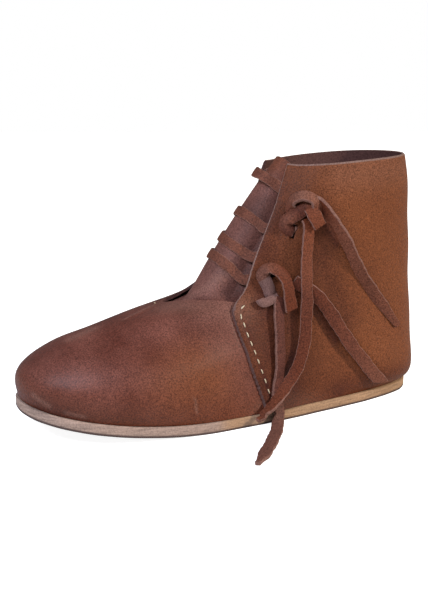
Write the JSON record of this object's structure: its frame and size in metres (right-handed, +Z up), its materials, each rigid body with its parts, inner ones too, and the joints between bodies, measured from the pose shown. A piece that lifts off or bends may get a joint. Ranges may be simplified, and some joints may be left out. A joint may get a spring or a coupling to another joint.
{
  "type": "medieval ankle shoe",
  "caption": "Low ankle shoe of brown leather with a turned upper, lapped side seam, loose tongue, flat sole and knotted thong lacing. Left foot.",
  "frame": {"origin": "middle of the shoe's footprint on the floor, under the sole", "axes": "+X to the toe, +Y to the outer side of the left foot, +Z up"},
  "size_m": [0.2718, 0.1451, 0.16],
  "materials": {
    "upper_leather": "vegetable-tanned leather, oiled, soft sheen",
    "tongue_leather": "vegetable-tanned leather, thin and smooth",
    "thong_leather": "cut leather strip with raw edges",
    "sole_leather": "undyed thick sole leather, raw edge",
    "insole_leather": "dark flesh-side leather, dull"
  },
  "bodies": {
    "root": {"sole": "sole_leather", "insole": "insole_leather", "upper": "upper_leather", "tongue": "tongue_leather", "thong_upper": "thong_leather", "thong_lower": "thong_leather", "knot_upper": "thong_leather", "knot_lower": "thong_leather", "stub_upper": "thong_leather", "stub_lower": "thong_leather", "tail_upper_back": "thong_leather", "tail_upper_front": "thong_leather", "tail_lower_back": "thong_leather", "tail_lower_front": "thong_leather"}
  },
  "joints": []
}
